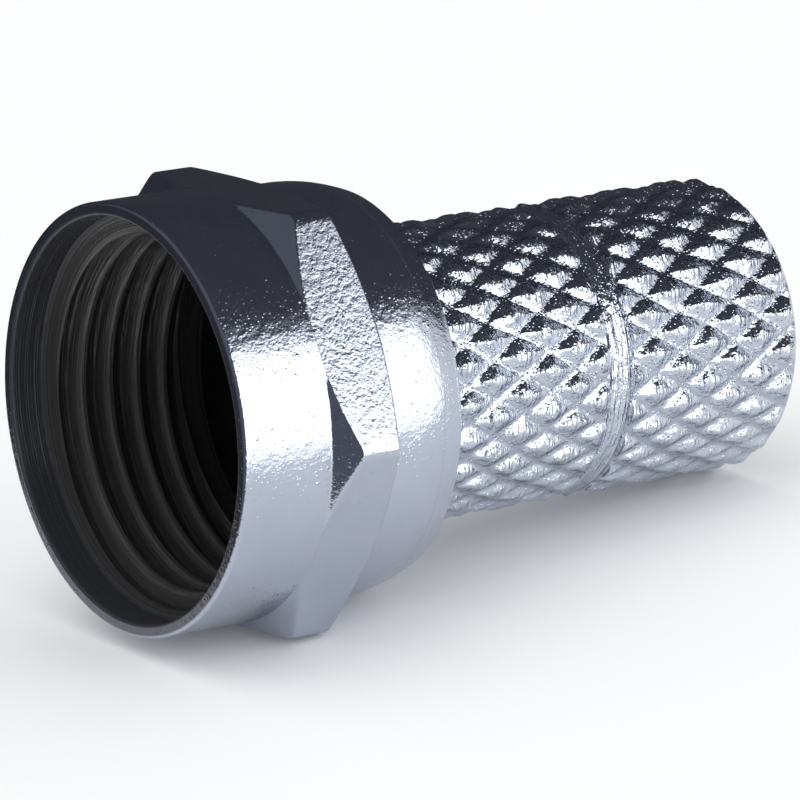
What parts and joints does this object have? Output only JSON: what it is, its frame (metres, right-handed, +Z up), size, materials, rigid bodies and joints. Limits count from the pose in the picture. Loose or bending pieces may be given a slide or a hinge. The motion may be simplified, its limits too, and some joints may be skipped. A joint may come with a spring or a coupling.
{
  "type": "f connector",
  "caption": "Twist-on male F connector for coaxial cable: captive hexagon coupling nut with round collars on a diamond-knurled cable sleeve.",
  "frame": {"origin": "on the ground plane, under the centre of the connector's length and width", "axes": "+X along the connector from the nut's mouth to the cable end (the connector's own axis dips 6.5 degrees towards the cable end, because it lies on a flat of the nut and on the sleeve's end), +Y to the left seen from behind the cable end, +Z up"},
  "size_m": [0.0188, 0.012, 0.011],
  "materials": {
    "nut_plating": "satin bright plating",
    "ferrule_plating": "satin bright plating",
    "sleeve_plating": "bright plating over knurl"
  },
  "bodies": {
    "nut": {"coupling_nut": "nut_plating"},
    "barrel": {"knurled_sleeve": "sleeve_plating", "flanged_ferrule": "ferrule_plating"}
  },
  "joints": [
    {"name": "nut_swivel", "type": "hinge", "parent": "nut", "child": "barrel", "pos_m": [-0.00266, 0, 0.005], "axis": [0.9935, 0, -0.1137], "continuous": true}
  ]
}
